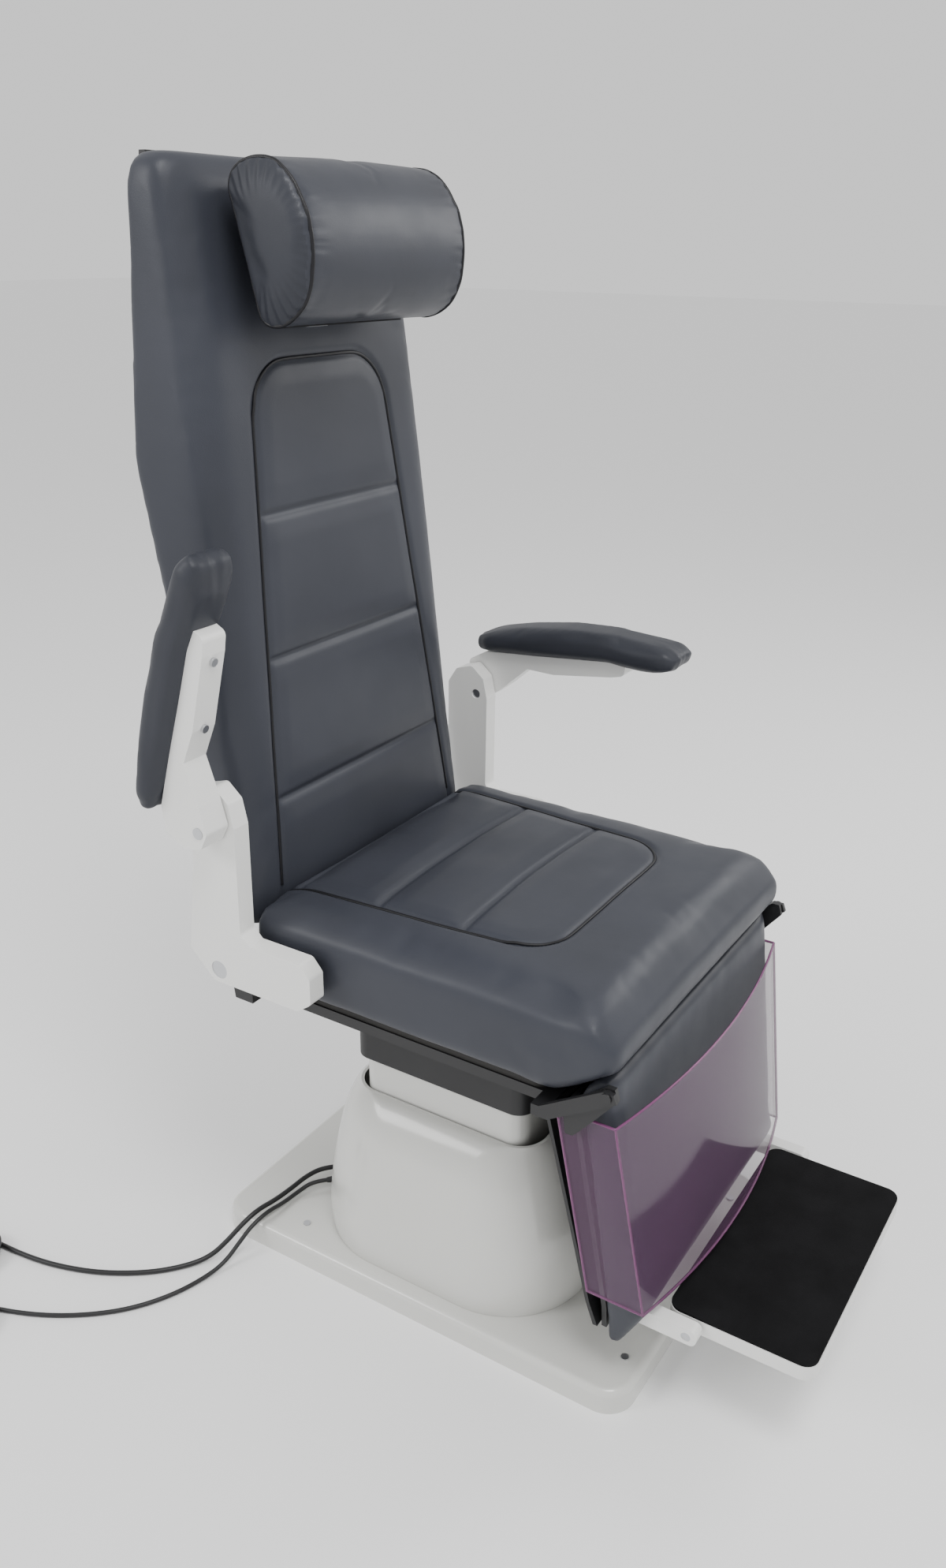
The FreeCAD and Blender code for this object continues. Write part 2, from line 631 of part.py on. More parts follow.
def back_structure():
    """The weldment that turns on the shaft: two uprights, cross bars, hinge tubes and the drive lever."""
    upright = rear_band(16, 10, 452, 1340)
    pieces = []
    for mirror in (True, False):
        side = "right" if mirror else "left"
        pieces.append(side_plate(f"upright_{side}", upright, 140, 40, mirror=mirror, hidden=True))
        start = -190 if mirror else 150
        pieces.append(rod(f"hinge_tube_{side}", 19, (start, "back_y", "back_z"), 40, X_AXIS))
    for index, z in enumerate((560, 900, 1300)):
        bar = rear_band(16, 10, z, z + 40)
        pieces.append(wide_plate(f"back_bar_{index}", bar, 152, hidden=True))
    lever = [("back_y - 14", "back_z - 6"), ("back_y + lever - 9", "back_z - lever - 9"),
             ("back_y + lever + 9", "back_z - lever - 9"), ("back_y + lever + 9", "back_z - lever + 9"),
             ("back_y + 14", "back_z + 6")]
    pieces.append(side_plate("back_lever", lever, 174, 10, hidden=True))
    pieces.append(rod("lever_stub", "lever_pin", (180, "back_y + lever", "back_z - lever"), 22, X_AXIS))
    bore = rod("hinge_bore", "shaft + run_gap", (-300, "back_y", "back_z"), 600, X_AXIS)
    keep(cut("back_frame_cut", fuse("back_frame_weld", pieces), [bore]), "back_frame")


def back_shell():
    """The black moulded panel that closes the pocket behind the back."""
    band = wide_plate("shell_band", rear_band(value("shell"), 0, 520, 1378), "back_half_low - 10", hidden=True)
    mask = front_mask("shell_mask", "back_half_low - 36", "back_half_high - 34", "back_low", "back_high")
    keep(common("shell_trim", band, mask), "back_shell")


# ---- headrest ------------------------------------------------------------------------------------------------


def headrest():
    """A rail on the back, a carriage that climbs it, a tilting board and a D-shaped pillow."""
    rail = [(back_front(z) + offset, z) for z, offset in ((1196, -0.3), (1376, -0.3), (1376, -6), (1196, -6))]
    wide_plate("headrest_rail", rail, 19)
    carriage = [(back_front(1200) - 6.4, 1200), (back_front(1244) - 6.4, 1244), (back_front(1244) - 12, 1244),
                ("tilt_y + 1", "tilt_z + 9"), ("tilt_y - 8", "tilt_z + 2"), ("tilt_y - 8", "tilt_z - 8"),
                ("tilt_y + 4", "tilt_z - 12")]
    body = wide_plate("carriage_block", carriage, 24, hidden=True)
    bore = rod("carriage_bore", "tilt_pin + run_gap", (-60, "tilt_y", "tilt_z"), 120, X_AXIS)
    keep(cut("carriage_cut", body, [bore]), "headrest_carriage")
    keep(rod("tilt_rod", "tilt_pin", (-48, "tilt_y", "tilt_z"), 96, X_AXIS), "headrest_tilt_pin")
    pillow_and_board()


def pillow_and_board():
    board = [(234.9, 1200), (276.1, 1350), (281.4, 1350), (240.2, 1200)]
    plate = wide_plate("headrest_plate", board, 120, hidden=True)
    ears = []
    for mirror in (True, False):
        side = "right" if mirror else "left"
        ear = [(239, 1212), ("tilt_y + 8", "tilt_z - 6"), ("tilt_y + 8", "tilt_z + 8"), (247, 1240)]
        ears.append(side_plate(f"tilt_ear_{side}", ear, 26, 8, mirror=mirror, hidden=True))
    bore = rod("tilt_bore", "tilt_pin + run_gap", (-60, "tilt_y", "tilt_z"), 120, X_AXIS)
    keep(cut("board_cut", fuse("board_weld", [plate] + ears), [bore]), "headrest_board")
    body = new_body("headrest_pillow")
    sketch = new_sketch(body, "pillow_outline", "YZ_Plane")
    low, top = Vector(232, 1192, 0), Vector(277, 1356, 0)
    turn = Vector(166, 1316, 0)
    sketch.addGeometry(Part.LineSegment(low, top))
    sketch.addGeometry(Part.Arc(top, Vector(222, 1378, 0), turn))
    sketch.addGeometry(Part.Arc(turn, Vector(170, 1234, 0), low))
    pad = body.newObject("PartDesign::Pad", "pillow_pad")
    pad.Profile = sketch
    pad.Midplane = True
    bind(pad, Length="2 * pillow_half")
    doc.recompute()
    keep(body, "headrest_pillow")


# ---- legrest -------------------------------------------------------------------------------------------------


def calf_pad():
    outline = [(-281, 470), (-240, 443), (-243, 400), (-277, 128), (-277, 92), (-300, 86), (-330, 150), (-323.5, 178)]
    body = wide_plate("calf_block", outline, "calf_half_high", hidden=True)
    mask = front_mask("calf_mask", "calf_half_low + 7", "calf_half_high + 1", 84, 474)
    pockets = []
    for side in (-1, 1):
        low, high = sorted((side * 177.5, side * 196.5))
        pockets.append(block(f"arm_pocket_{side}", (low, -345, 123.5), (high, -270, 145.5)))
    keep(cut("calf_cut", common("calf_trim", body, mask), pockets), "calf_pad")


def legrest_frame():
    """The plate behind the calf pad, the hinge cheeks outside it, and the ear that the link rod drives."""
    plate = [(-239.5, 436), (-234, 436), (-236, 400), (-270, 128), (-270, 96), (-276.5, 96), (-276.5, 128),
             (-242.5, 400)]
    body = wide_plate("leg_plate", plate, "calf_half_high", hidden=True)
    mask = front_mask("leg_mask", "calf_half_low - 8", "calf_half_high + 2", 84, 474)
    pieces = [common("leg_plate_trim", body, mask)]
    cheek = [("leg_y - 10", "leg_z - 6"), ("leg_y - 6", "leg_z + 8"), ("leg_y + 4", "leg_z + 8"),
             (-231, 430), (-234, 396), (-244, 396), (-264, 420)]
    for mirror in (True, False):
        side = "right" if mirror else "left"
        pieces.append(side_plate(f"leg_cheek_{side}", cheek, 243.5, 6, mirror=mirror, hidden=True))
    bridge = [(-239.8, 437), (-234, 437), (-235.5, 421), (-241, 421)]
    pieces.append(wide_plate("leg_bridge", bridge, 249, hidden=True))
    ear = [("leg_y + lever - 8", "leg_z - lever - 9"), ("leg_y + lever + 8", "leg_z - lever - 9"),
           ("leg_y + lever + 8", "leg_z - lever + 9"), ("leg_y + lever - 8", "leg_z - lever + 9"),
           (-237, 420), (-241, 380)]
    pieces.append(side_plate("leg_ear", ear, 200, 6, hidden=True))
    pieces.append(rod("leg_stub", "lever_pin", (187, "leg_y + lever", "leg_z - lever"), 15, X_AXIS))
    bore = rod("leg_bore", "lever_pin + run_gap", (-300, "leg_y", "leg_z"), 600, X_AXIS)
    keep(cut("leg_frame_cut", fuse("leg_frame_weld", pieces), [bore]), "legrest_frame")


def legrest_panel():
    """The black panel behind the legrest, notched where the link rod enters."""
    outline = [(-205, 402), (-200.5, 402), (-252, 134), (-262, 100), (-268, 100), (-257, 134)]
    body = wide_plate("panel_block", outline, "calf_half_high + 4", hidden=True)
    mask = front_mask("panel_mask", "calf_half_low", "calf_half_high + 4", 84, 474)
    trimmed = common("panel_trim", body, mask)
    notch = block("panel_notch", (178, -230, 362), (214, -190, 410))
    keep(cut("panel_cut", trimmed, [notch]), "legrest_panel")


def guard_section(body, name, z, half, front):
    """A channel seen from above: two side wings and a front that bows forward."""
    sketch = new_sketch(body, name, "XY_Plane", z)
    wall = value("guard_wall")
    bow = value("guard_bow")
    a, y = value(half), value(front)
    back = y + value("guard_wing")
    inner = a - wall

    def p(x, depth):
        return Vector(x, depth, 0)
    shapes = [
        Part.LineSegment(p(-a, back), p(-a, y)),
        Part.Arc(p(-a, y), p(0, y - bow), p(a, y)),
        Part.LineSegment(p(a, y), p(a, back)),
        Part.LineSegment(p(a, back), p(inner, back)),
        Part.LineSegment(p(inner, back), p(inner, y + wall)),
        Part.Arc(p(inner, y + wall), p(0, y - bow + wall), p(-inner, y + wall)),
        Part.LineSegment(p(-inner, y + wall), p(-inner, back)),
        Part.LineSegment(p(-inner, back), p(-a, back)),
    ]
    for shape in shapes:
        sketch.addGeometry(shape)
    return sketch


def calf_guard():
    body = new_body("calf_guard")
    top = guard_section(body, "guard_top", "guard_high", "guard_half_high", -292)
    low = guard_section(body, "guard_bottom", "guard_low", "guard_half_low", -331.5)
    doc.recompute()
    loft = body.newObject("PartDesign::AdditiveLoft", "guard_loft")
    loft.Profile = top
    loft.Sections = [low]
    loft.Ruled = True
    doc.recompute()
    keep(body, "calf_guard")


def footrest():
    """Two fixed arms on the legrest, the pins in them, and the folding tray with its rubber mat."""
    pins = []
    for mirror in (True, False):
        side = "right" if mirror else "left"
        bar = [(-277, "foot_z - 10"), (-277, "foot_z + 11"), (-388, "foot_z + 11"), (-388, "foot_z - 10")]
        body = side_plate(f"foot_arm_{side}", bar, 178, 18, [bar[2], bar[3]], 9, mirror=mirror, hidden=True)
        start = -202 if mirror else 172
        hole = rod(f"foot_arm_hole_{side}", "lever_pin + run_gap", (start, "foot_y", "foot_z"), 30, X_AXIS)
        keep(cut(f"foot_arm_cut_{side}", body, [hole]), f"footrest_arm_{side}")
        pin_start = -195 if mirror else 150
        pins.append(rod(f"foot_pin_{side}", "lever_pin", (pin_start, "foot_y", "foot_z"), 45, X_AXIS))
    keep(group("foot_pins", pins), "footrest_pins")
    mid_y = "(foot_rear + foot_front) / 2"
    half_y = "(foot_rear - foot_front) / 2"
    tray = slab("tray_slab", "foot_half", half_y, mid_y, 18, "foot_low", "foot_high - foot_low", hidden=True)
    bore = rod("tray_bore", "lever_pin + run_gap", (-300, "foot_y", "foot_z"), 600, X_AXIS)
    keep(cut("tray_cut", tray, [bore]), "footrest_tray")
    slab("footrest_mat", "foot_half - 1", f"{half_y} - 1", mid_y, 17, "foot_high + 0.1", "mat")


def link():
    """The rod that makes the legrest turn with the back, with a looser hole at its front pin."""
    outline = [("leg_y + lever - 9", "leg_z - lever - 9"), ("back_y + lever + 9", "back_z - lever - 9"),
               ("back_y + lever + 9", "back_z - lever + 9"), ("leg_y + lever - 9", "leg_z - lever + 9")]
    bar = side_plate("link_bar", outline, "rod_x", "rod_wide", hidden=True)
    holes = [rod("link_rear_hole", "lever_pin + run_gap", (150, "back_y + lever", "back_z - lever"), 90, X_AXIS),
             rod("link_front_hole", "lever_pin + 0.6", (150, "leg_y + lever", "leg_z - lever"), 90, X_AXIS)]
    keep(cut("link_cut", bar, holes), "link_rod")


# ---- armrests ------------------------------------------------------------------------------------------------

ARM = [(178, 904), (181, 883), (203, 794), (220, 754), (202, 704), (193, 672), (204, 651), (228, 648), (256, 662),
       (260, 694), (241, 760), (202, 889), (191, 911)]
ARM_PAD = [(266, 680), (290, 690), (277, 771), (238, 900), (196, 992), (170, 1002), (164, 970), (202.6, 889.2),
           (241.6, 760.2)]


def lowered(thing):
    """Turns a piece about the armrest pivot from the raised to the lowered position."""
    start = thing.Placement
    pivot = Vector(0, value("arm_y"), value("arm_z"))
    turn = FreeCAD.Placement(Vector(), FreeCAD.Rotation(X_AXIS, value("arm_lowered")), pivot)
    thing.Placement = turn * start


def armrest(side, mirror):
    start = "-arm_in - arm_thick - 1" if mirror else "bracket_in + 1"
    arm = side_plate(f"{side}_arm_plate", ARM, "arm_in", "arm_thick", ARM[:1] + ARM[5:9], 8, mirror=mirror,
                     hidden=True)
    hole = rod(f"{side}_arm_bore", "arm_pin + run_gap", (start, "arm_y", "arm_z"), 70, X_AXIS)
    arm = cut(f"{side}_arm_cut", arm, [hole])
    pad = side_plate(f"{side}_pad_block", ARM_PAD, "arm_pad_in", "arm_pad_wide", [(290, 690), (196, 992), (170, 1002)],
                     9, mirror=mirror, hidden=True)
    screws = []
    for index, (y, z) in enumerate(((182.6, 874), (202.6, 794))):
        x = "-arm_in - arm_thick / 2" if mirror else "arm_in + arm_thick / 2"
        screws.append(rod(f"{side}_arm_screw_{index}", 5, (x, y, z), 3, Vector(0, -0.97, -0.24)))
    screws = group(f"{side}_screws", screws)
    if not mirror:
        for thing in (arm, pad, screws):
            lowered(thing)
    keep(arm, f"{side}_upper_arm")
    keep(pad, f"{side}_arm_pad")
    keep(screws, f"{side}_arm_screws")
    pin_start = "-bracket_in - arm_thick - 28" if mirror else "bracket_in + 2"
    keep(rod(f"{side}_pin", "arm_pin", (pin_start, "arm_y", "arm_z"), 60, X_AXIS), f"{side}_arm_pin")


# ---- build ---------------------------------------------------------------------------------------------------


def check():
    doc.recompute()
    for thing in doc.Objects:
        bad = [state for state in thing.State if state in ("Invalid", "Error")]
        if bad:
            raise RuntimeError(f"{thing.Name} is {bad}")
    for thing in parts:
        if thing.Shape.isNull() or not thing.Shape.isValid() or not thing.Shape.Solids:
            raise RuntimeError(f"{thing.Label} has a bad shape")


def write():
    os.makedirs("parts", exist_ok=True)
    for thing in parts:
        thing.Shape.exportStep(f"parts/{thing.Label}.step")
    print(len(parts), "sub-parts written")


base_plate()
base_cover()
lift_column()
cords()
turntable()
chassis_skirt()
seat_frame()
seat_upholstery()
hinge_hardware()
for name, is_right in (("right", True), ("left", False)):
    arm_bracket(name, is_right)
    armrest(name, is_right)
back_pad()
back_structure()
back_shell()
headrest()
calf_pad()
legrest_frame()
legrest_panel()
calf_guard()
footrest()
link()
check()
write()
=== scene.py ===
import json
import math

import bmesh
import bpy
import numpy as np
from mathutils import Matrix, Vector, noise
from mathutils.bvhtree import BVHTree


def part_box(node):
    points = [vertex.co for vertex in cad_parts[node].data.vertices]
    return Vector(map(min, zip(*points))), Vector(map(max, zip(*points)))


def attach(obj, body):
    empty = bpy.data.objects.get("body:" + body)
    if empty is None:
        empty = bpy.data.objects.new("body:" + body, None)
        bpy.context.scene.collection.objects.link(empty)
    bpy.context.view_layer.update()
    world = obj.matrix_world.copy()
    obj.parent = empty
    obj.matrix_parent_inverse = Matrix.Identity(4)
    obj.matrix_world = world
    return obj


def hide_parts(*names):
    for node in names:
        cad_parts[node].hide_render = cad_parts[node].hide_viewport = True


# A motorised examination chair, dressed around its CAD frame. Metres. +Z is up and the sitter faces -Y.

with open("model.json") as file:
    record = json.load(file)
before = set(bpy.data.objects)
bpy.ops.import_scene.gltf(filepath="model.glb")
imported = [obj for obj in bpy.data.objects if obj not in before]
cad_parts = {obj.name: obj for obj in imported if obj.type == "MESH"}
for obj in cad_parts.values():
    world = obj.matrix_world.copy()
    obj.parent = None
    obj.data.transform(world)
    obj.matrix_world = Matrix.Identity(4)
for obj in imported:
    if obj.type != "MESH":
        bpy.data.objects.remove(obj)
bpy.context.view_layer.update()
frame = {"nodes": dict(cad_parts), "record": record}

MM = 0.001
GROUND = 0.0


# ---- camera -------------------------------------------------------------------------------------------

CAMERA_PLACE = Vector((-1.29933, -0.76261, 1.29868))
CAMERA_TARGET = Vector((0.08582, 0.09793, 0.61449))
CAMERA_ROLL = math.radians(0.8)
CAMERA_LENS = 30.04


def make_camera():
    data = bpy.data.cameras.new("view")
    data.lens = CAMERA_LENS
    data.sensor_width = 36
    camera = bpy.data.objects.new("view", data)
    bpy.context.scene.collection.objects.link(camera)
    look = (CAMERA_TARGET - CAMERA_PLACE).to_track_quat("-Z", "Y")
    roll = Matrix.Rotation(CAMERA_ROLL, 4, "Z")
    camera.matrix_world = Matrix.Translation(CAMERA_PLACE) @ look.to_matrix().to_4x4() @ roll
    bpy.context.scene.camera = camera


make_camera()

# ---- materials ----------------------------------------------------------------------------------------


def new_material(name, colour, roughness, **sockets):
    material = bpy.data.materials.new(name)
    material.use_nodes = True
    shader = material.node_tree.nodes["Principled BSDF"]
    shader.inputs["Base Color"].default_value = (*colour, 1)
    shader.inputs["Roughness"].default_value = roughness
    for socket, number in sockets.items():
        shader.inputs[socket.replace("_", " ")].default_value = number
    return material


def nodes_of(material):
    tree = material.node_tree
    return tree, tree.nodes["Principled BSDF"]


def texture(tree, kind, scale, detail=3.0, **settings):
    """A noise, voronoi or wave texture on the piece's own coordinates, in metres."""
    place = tree.nodes.new("ShaderNodeTexCoord")
    node = tree.nodes.new(f"ShaderNodeTex{kind}")
    tree.links.new(place.outputs["Object"], node.inputs["Vector"])
    node.inputs["Scale"].default_value = scale
    if "Detail" in node.inputs:
        node.inputs["Detail"].default_value = detail
    for name, number in settings.items():
        node.inputs[name].default_value = number
    return node


def ramp(tree, source, stops):
    """A colour ramp over a grey source; each stop is (position, colour)."""
    node = tree.nodes.new("ShaderNodeValToRGB")
    tree.links.new(source, node.inputs["Fac"])
    elements = node.color_ramp.elements
    while len(elements) < len(stops):
        elements.new(0.5)
    for element, (position, colour) in zip(elements, stops):
        element.position = position
        element.color = (*colour, 1)
    return node


def bump(tree, shader, sources):
    """Adds bumps of (output, strength, depth in metres) one on the other."""
    normal = None
    for output, strength, depth in sources:
        node = tree.nodes.new("ShaderNodeBump")
        node.inputs["Strength"].default_value = strength
        node.inputs["Distance"].default_value = depth
        tree.links.new(output, node.inputs["Height"])
        if normal:
            tree.links.new(normal, node.inputs["Normal"])
        normal = node.outputs["Normal"]
    tree.links.new(normal, shader.inputs["Normal"])


def shade(colour, factor):
    return tuple(channel * factor for channel in colour)


def vary(material, colour, scale, spread, detail=4.0):
    """Gives the base colour a slow mottle of plus or minus spread."""
    tree, shader = nodes_of(material)
    cloud = texture(tree, "Noise", scale, detail)
    stops = [(0.3, shade(colour, 1 - spread)), (0.7, shade(colour, 1 + spread))]
    tint = ramp(tree, cloud.outputs["Fac"], stops)
    tree.links.new(tint.outputs["Color"], shader.inputs["Base Color"])


def vary_roughness(material, low, high, scale):
    tree, shader = nodes_of(material)
    cloud = texture(tree, "Noise", scale, 5.0)
    spread = tree.nodes.new("ShaderNodeMapRange")
    spread.inputs["To Min"].default_value = low
    spread.inputs["To Max"].default_value = high
    tree.links.new(cloud.outputs["Fac"], spread.inputs["Value"])
    tree.links.new(spread.outputs["Result"], shader.inputs["Roughness"])


def leatherette(name, colour, roughness=0.42):
    """Smooth upholstery vinyl: a fine pebble grain, faint creases and a soft sheen."""
    material = new_material(name, colour, roughness, Specular_IOR_Level=0.30)
    vary(material, colour, 7.0, 0.09)
    vary_roughness(material, roughness - 0.07, roughness + 0.09, 26.0)
    tree, shader = nodes_of(material)
    grain = texture(tree, "Voronoi", 780.0, Randomness=1.0)
    pores = texture(tree, "Noise", 1500.0, 2.0)
    creases = texture(tree, "Noise", 42.0, 6.0, Roughness=0.55, Distortion=0.6)
    bump(tree, shader, [(creases.outputs["Fac"], 0.10, 0.0012), (grain.outputs["Distance"], 0.22, 0.00022),
                        (pores.outputs["Fac"], 0.15, 0.00012)])
    return material


def moulded(name, colour, roughness, spread=0.02, coat=0.0, orange_peel=0.0004):
    """Moulded or painted skin: an even colour with a faint mottle and an orange-peel ripple."""
    material = new_material(name, colour, roughness, Coat_Weight=coat, Coat_Roughness=0.12)
    vary(material, colour, 3.5, spread)
    vary_roughness(material, max(0.05, roughness - 0.06), roughness + 0.07, 15.0)
    tree, shader = nodes_of(material)
    ripple = texture(tree, "Noise", 85.0, 2.0)
    speck = texture(tree, "Noise", 900.0, 2.0)
    bump(tree, shader, [(ripple.outputs["Fac"], 0.12, orange_peel), (speck.outputs["Fac"], 0.08, 0.00008)])
    return material


def brushed(name, colour):
    material = new_material(name, colour, 0.32, Metallic=1.0)
    vary_roughness(material, 0.24, 0.42, 60.0)
    tree, shader = nodes_of(material)
    lines = texture(tree, "Wave", 420.0, 2.0, Distortion=3.0)
    bump(tree, shader, [(lines.outputs["Fac"], 0.08, 0.00008)])
    return material


def rubber_mat(name):
    """Black ribbed floor rubber with a trace of dust."""
    material = new_material(name, (0.006, 0.006, 0.0065), 0.8, Specular_IOR_Level=0.10)
    vary(material, (0.0066, 0.0066, 0.0072), 22.0, 0.25)
    tree, shader = nodes_of(material)
    pebble = texture(tree, "Voronoi", 420.0)
    dust = texture(tree, "Noise", 60.0, 6.0)
    bump(tree, shader, [(pebble.outputs["Distance"], 0.35, 0.0004), (dust.outputs["Fac"], 0.1, 0.0006)])
    return material


def acrylic(name, tint, roughness, alpha):
    """Clear tinted sheet: mostly see-through, glossy, with faint scuffs."""
    material = new_material(name, tint, roughness, IOR=1.49, Alpha=alpha,
                            Coat_Weight=0.35, Coat_Roughness=0.04, Specular_IOR_Level=0.4)
    tree, shader = nodes_of(material)
    scuffs = texture(tree, "Noise", 38.0, 8.0, Roughness=0.7)
    spread = tree.nodes.new("ShaderNodeMapRange")
    spread.inputs["From Min"].default_value = 0.45
    spread.inputs["From Max"].default_value = 0.75
    spread.inputs["To Min"].default_value = roughness
    spread.inputs["To Max"].default_value = roughness + 0.10
    tree.links.new(scuffs.outputs["Fac"], spread.inputs["Value"])
    tree.links.new(spread.outputs["Result"], shader.inputs["Roughness"])
    vary(material, tint, 9.0, 0.06)
    return material


LEATHER_GREY = (0.036, 0.039, 0.050)
MATERIALS = {
    "upholstery": leatherette("upholstery_vinyl", LEATHER_GREY),
    "pillow": leatherette("pillow_vinyl", shade(LEATHER_GREY, 0.92), 0.40),
    "end_cap": leatherette("end_cap_vinyl", shade(LEATHER_GREY, 0.75), 0.5),
    "arm": leatherette("arm_vinyl", shade(LEATHER_GREY, 0.8), 0.46),
    "piping": leatherette("piping_vinyl", (0.008, 0.008, 0.010), 0.4),
    "cover_plastic": moulded("cover_gloss", (0.63, 0.63, 0.60), 0.22, 0.015, coat=0.5),
    "white_metal": moulded("white_powder", (0.80, 0.80, 0.78), 0.38, 0.012, orange_peel=0.0006),
    "black_metal": moulded("black_powder", (0.012, 0.012, 0.013), 0.45, 0.1),
    "black_plastic": moulded("black_moulding", (0.010, 0.010, 0.011), 0.5, 0.12),
    "motor": moulded("motor_paint", (0.02, 0.02, 0.023), 0.4, 0.1),
    "board": moulded("stained_board", (0.014, 0.013, 0.012), 0.7, 0.2),
    "steel": brushed("bright_steel", (0.56, 0.57, 0.59)),
    "mat": rubber_mat("foot_mat_rubber"),
    "guard": acrylic("lilac_acrylic", (0.150, 0.075, 0.145), 0.06, 0.30),
    "guard_edge": acrylic("lilac_acrylic_edge", (0.20, 0.055, 0.16), 0.16, 0.8),
    "cord_black": moulded("cord_jacket", (0.010, 0.010, 0.011), 0.42, 0.1),
}


def paint(piece, *names):
    """Sets the piece's material slots, in order."""
    piece.data.materials.clear()
    for name in names:
        piece.data.materials.append(MATERIALS[name])


# ---- mesh helpers -------------------------------------------------------------------------------------


def new_piece(name, points, faces, material):
    mesh = bpy.data.meshes.new(name)
    mesh.from_pydata([tuple(point) for point in points], [], faces)
    mesh.update()
    piece = bpy.data.objects.new(name, mesh)
    bpy.context.scene.collection.objects.link(piece)
    paint(piece, material)
    clean(piece)
    return piece


def clean(piece):
    """Faces point outwards and shade smoothly."""
    work = bmesh.new()
    work.from_mesh(piece.data)
    bmesh.ops.remove_doubles(work, verts=work.verts, dist=0.00002)
    bmesh.ops.recalc_face_normals(work, faces=work.faces)
    work.to_mesh(piece.data)
    work.free()
    piece.data.polygons.foreach_set("use_smooth", [True] * len(piece.data.polygons))
    piece.data.update()


def loft(name, rings, material):
    """A closed skin through rings of equally many points, with its two ends filled by shrinking rings."""
    steps = (0.86, 0.62, 0.36, 0.12)

    def shrunk(ring, share):
        middle = sum(ring, Vector()) / len(ring)
        return [middle + (point - middle) * share for point in ring]
    head = [shrunk(rings[0], share) for share in reversed(steps)]
    tail = [shrunk(rings[-1], share) for share in steps]
    every = head + list(rings) + tail
    count = len(rings[0])
    points = [point for ring in every for point in ring]
    faces = [tuple(reversed(range(count)))]
    for ring in range(len(every) - 1):
        for index in range(count):
            following = (index + 1) % count
            faces.append((ring * count + index, ring * count + following, (ring + 1) * count + following,
                          (ring + 1) * count + index))
    last = (len(every) - 1) * count
    faces.append(tuple(range(last, last + count)))
    return new_piece(name, points, faces, material)


def apply_modifier(piece, kind, **settings):
    modifier = piece.modifiers.new(kind.lower(), kind)
    for name, setting in settings.items():
        setattr(modifier, name, setting)
    finished = bpy.data.meshes.new_from_object(piece.evaluated_get(bpy.context.evaluated_depsgraph_get()))
    piece.modifiers.clear()
    piece.data = finished


def coordinates(mesh):
    flat = np.empty(len(mesh.vertices) * 3)
    mesh.vertices.foreach_get("co", flat)
    return flat.reshape(-1, 3)


def move_points(piece, places):
    piece.data.vertices.foreach_set("co", np.asarray(places, float).ravel())
    piece.data.update()


def puff(piece, voxel, cap, pressure=4.0):
    """Fills a cushion by cloth simulation under pressure; no point moves further than cap."""
    apply_modifier(piece, "REMESH", mode="VOXEL", voxel_size=voxel)
    start = coordinates(piece.data)
    cloth = piece.modifiers.new("cloth", "CLOTH")
    cloth.settings.use_pressure = True
    cloth.settings.uniform_pressure_force = pressure
    cloth.settings.quality = 4
    cloth.settings.effector_weights.gravity = 0
    for step in range(1, 21):
        bpy.context.scene.frame_set(step)
    blown = piece.evaluated_get(bpy.context.evaluated_depsgraph_get())
    moved = coordinates(blown.to_mesh()) - start
    far = np.linalg.norm(moved, axis=1, keepdims=True)
    moved *= np.minimum(1, cap / np.maximum(far, 1e-9))
    piece.modifiers.clear()
    bpy.context.scene.frame_set(1)
    move_points(piece, start + moved)
    apply_modifier(piece, "SMOOTH", factor=0.5, iterations=4)
    apply_modifier(piece, "SUBSURF", levels=1)
    piece.data.polygons.foreach_set("use_smooth", [True] * len(piece.data.polygons))


def displaced(piece, change):
    """Moves each vertex by change(place, normal), an offset vector or None."""
    mesh = piece.data
    places = []
    for vertex in mesh.vertices:
        offset = change(vertex.co, vertex.normal)
        places.append(vertex.co + offset if offset is not None else vertex.co.copy())
    move_points(piece, [tuple(place) for place in places])


def surface_of(piece):
    work = bmesh.new()
    work.from_mesh(piece.data)
    tree = BVHTree.FromBMesh(work)
    work.free()
    return tree


def on_surface(tree, point, direction, lift=0.0):
    """Where a ray from beyond the point, against direction, meets the surface, lifted by `lift`."""
    direction = Vector(direction).normalized()
    hit = tree.ray_cast(Vector(point) + direction * 0.25, -direction, 0.6)
    return hit[0] + direction * lift if hit[0] else Vector(point)


def tube(name, points, radius, material, cyclic=False):
    """A round cord, such as piping, along smooth points."""
    curve = bpy.data.curves.new(name, "CURVE")
    curve.dimensions = "3D"
    curve.bevel_depth = radius
    curve.bevel_resolution = 4
    spline = curve.splines.new("NURBS")
    spline.points.add(len(points) - 1)
    for place, point in zip(spline.points, points):
        place.co = (*point, 1)
    spline.use_cyclic_u = cyclic
    spline.order_u = 3
    spline.use_endpoint_u = not cyclic
    curve.use_fill_caps = True
    piece = bpy.data.objects.new(name, curve)
    bpy.context.scene.collection.objects.link(piece)
    curve.materials.append(MATERIALS[material])
    return piece


def settle(piece, body):
    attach(piece, body)
    return piece


def smoothstep(low, high, number):
    share = min(1, max(0, (number - low) / (high - low)))
    return share * share * (3 - 2 * share)


def mix(a, b, share):
    return a + (b - a) * share


def interpolate(table, number):
    """The value at a number in a table of (number, value) pairs in rising order."""
    for (low, first), (high, second) in zip(table, table[1:]):
        if number <= high:
            return mix(first, second, max(0, (number - low) / (high - low)))
    return table[-1][1]


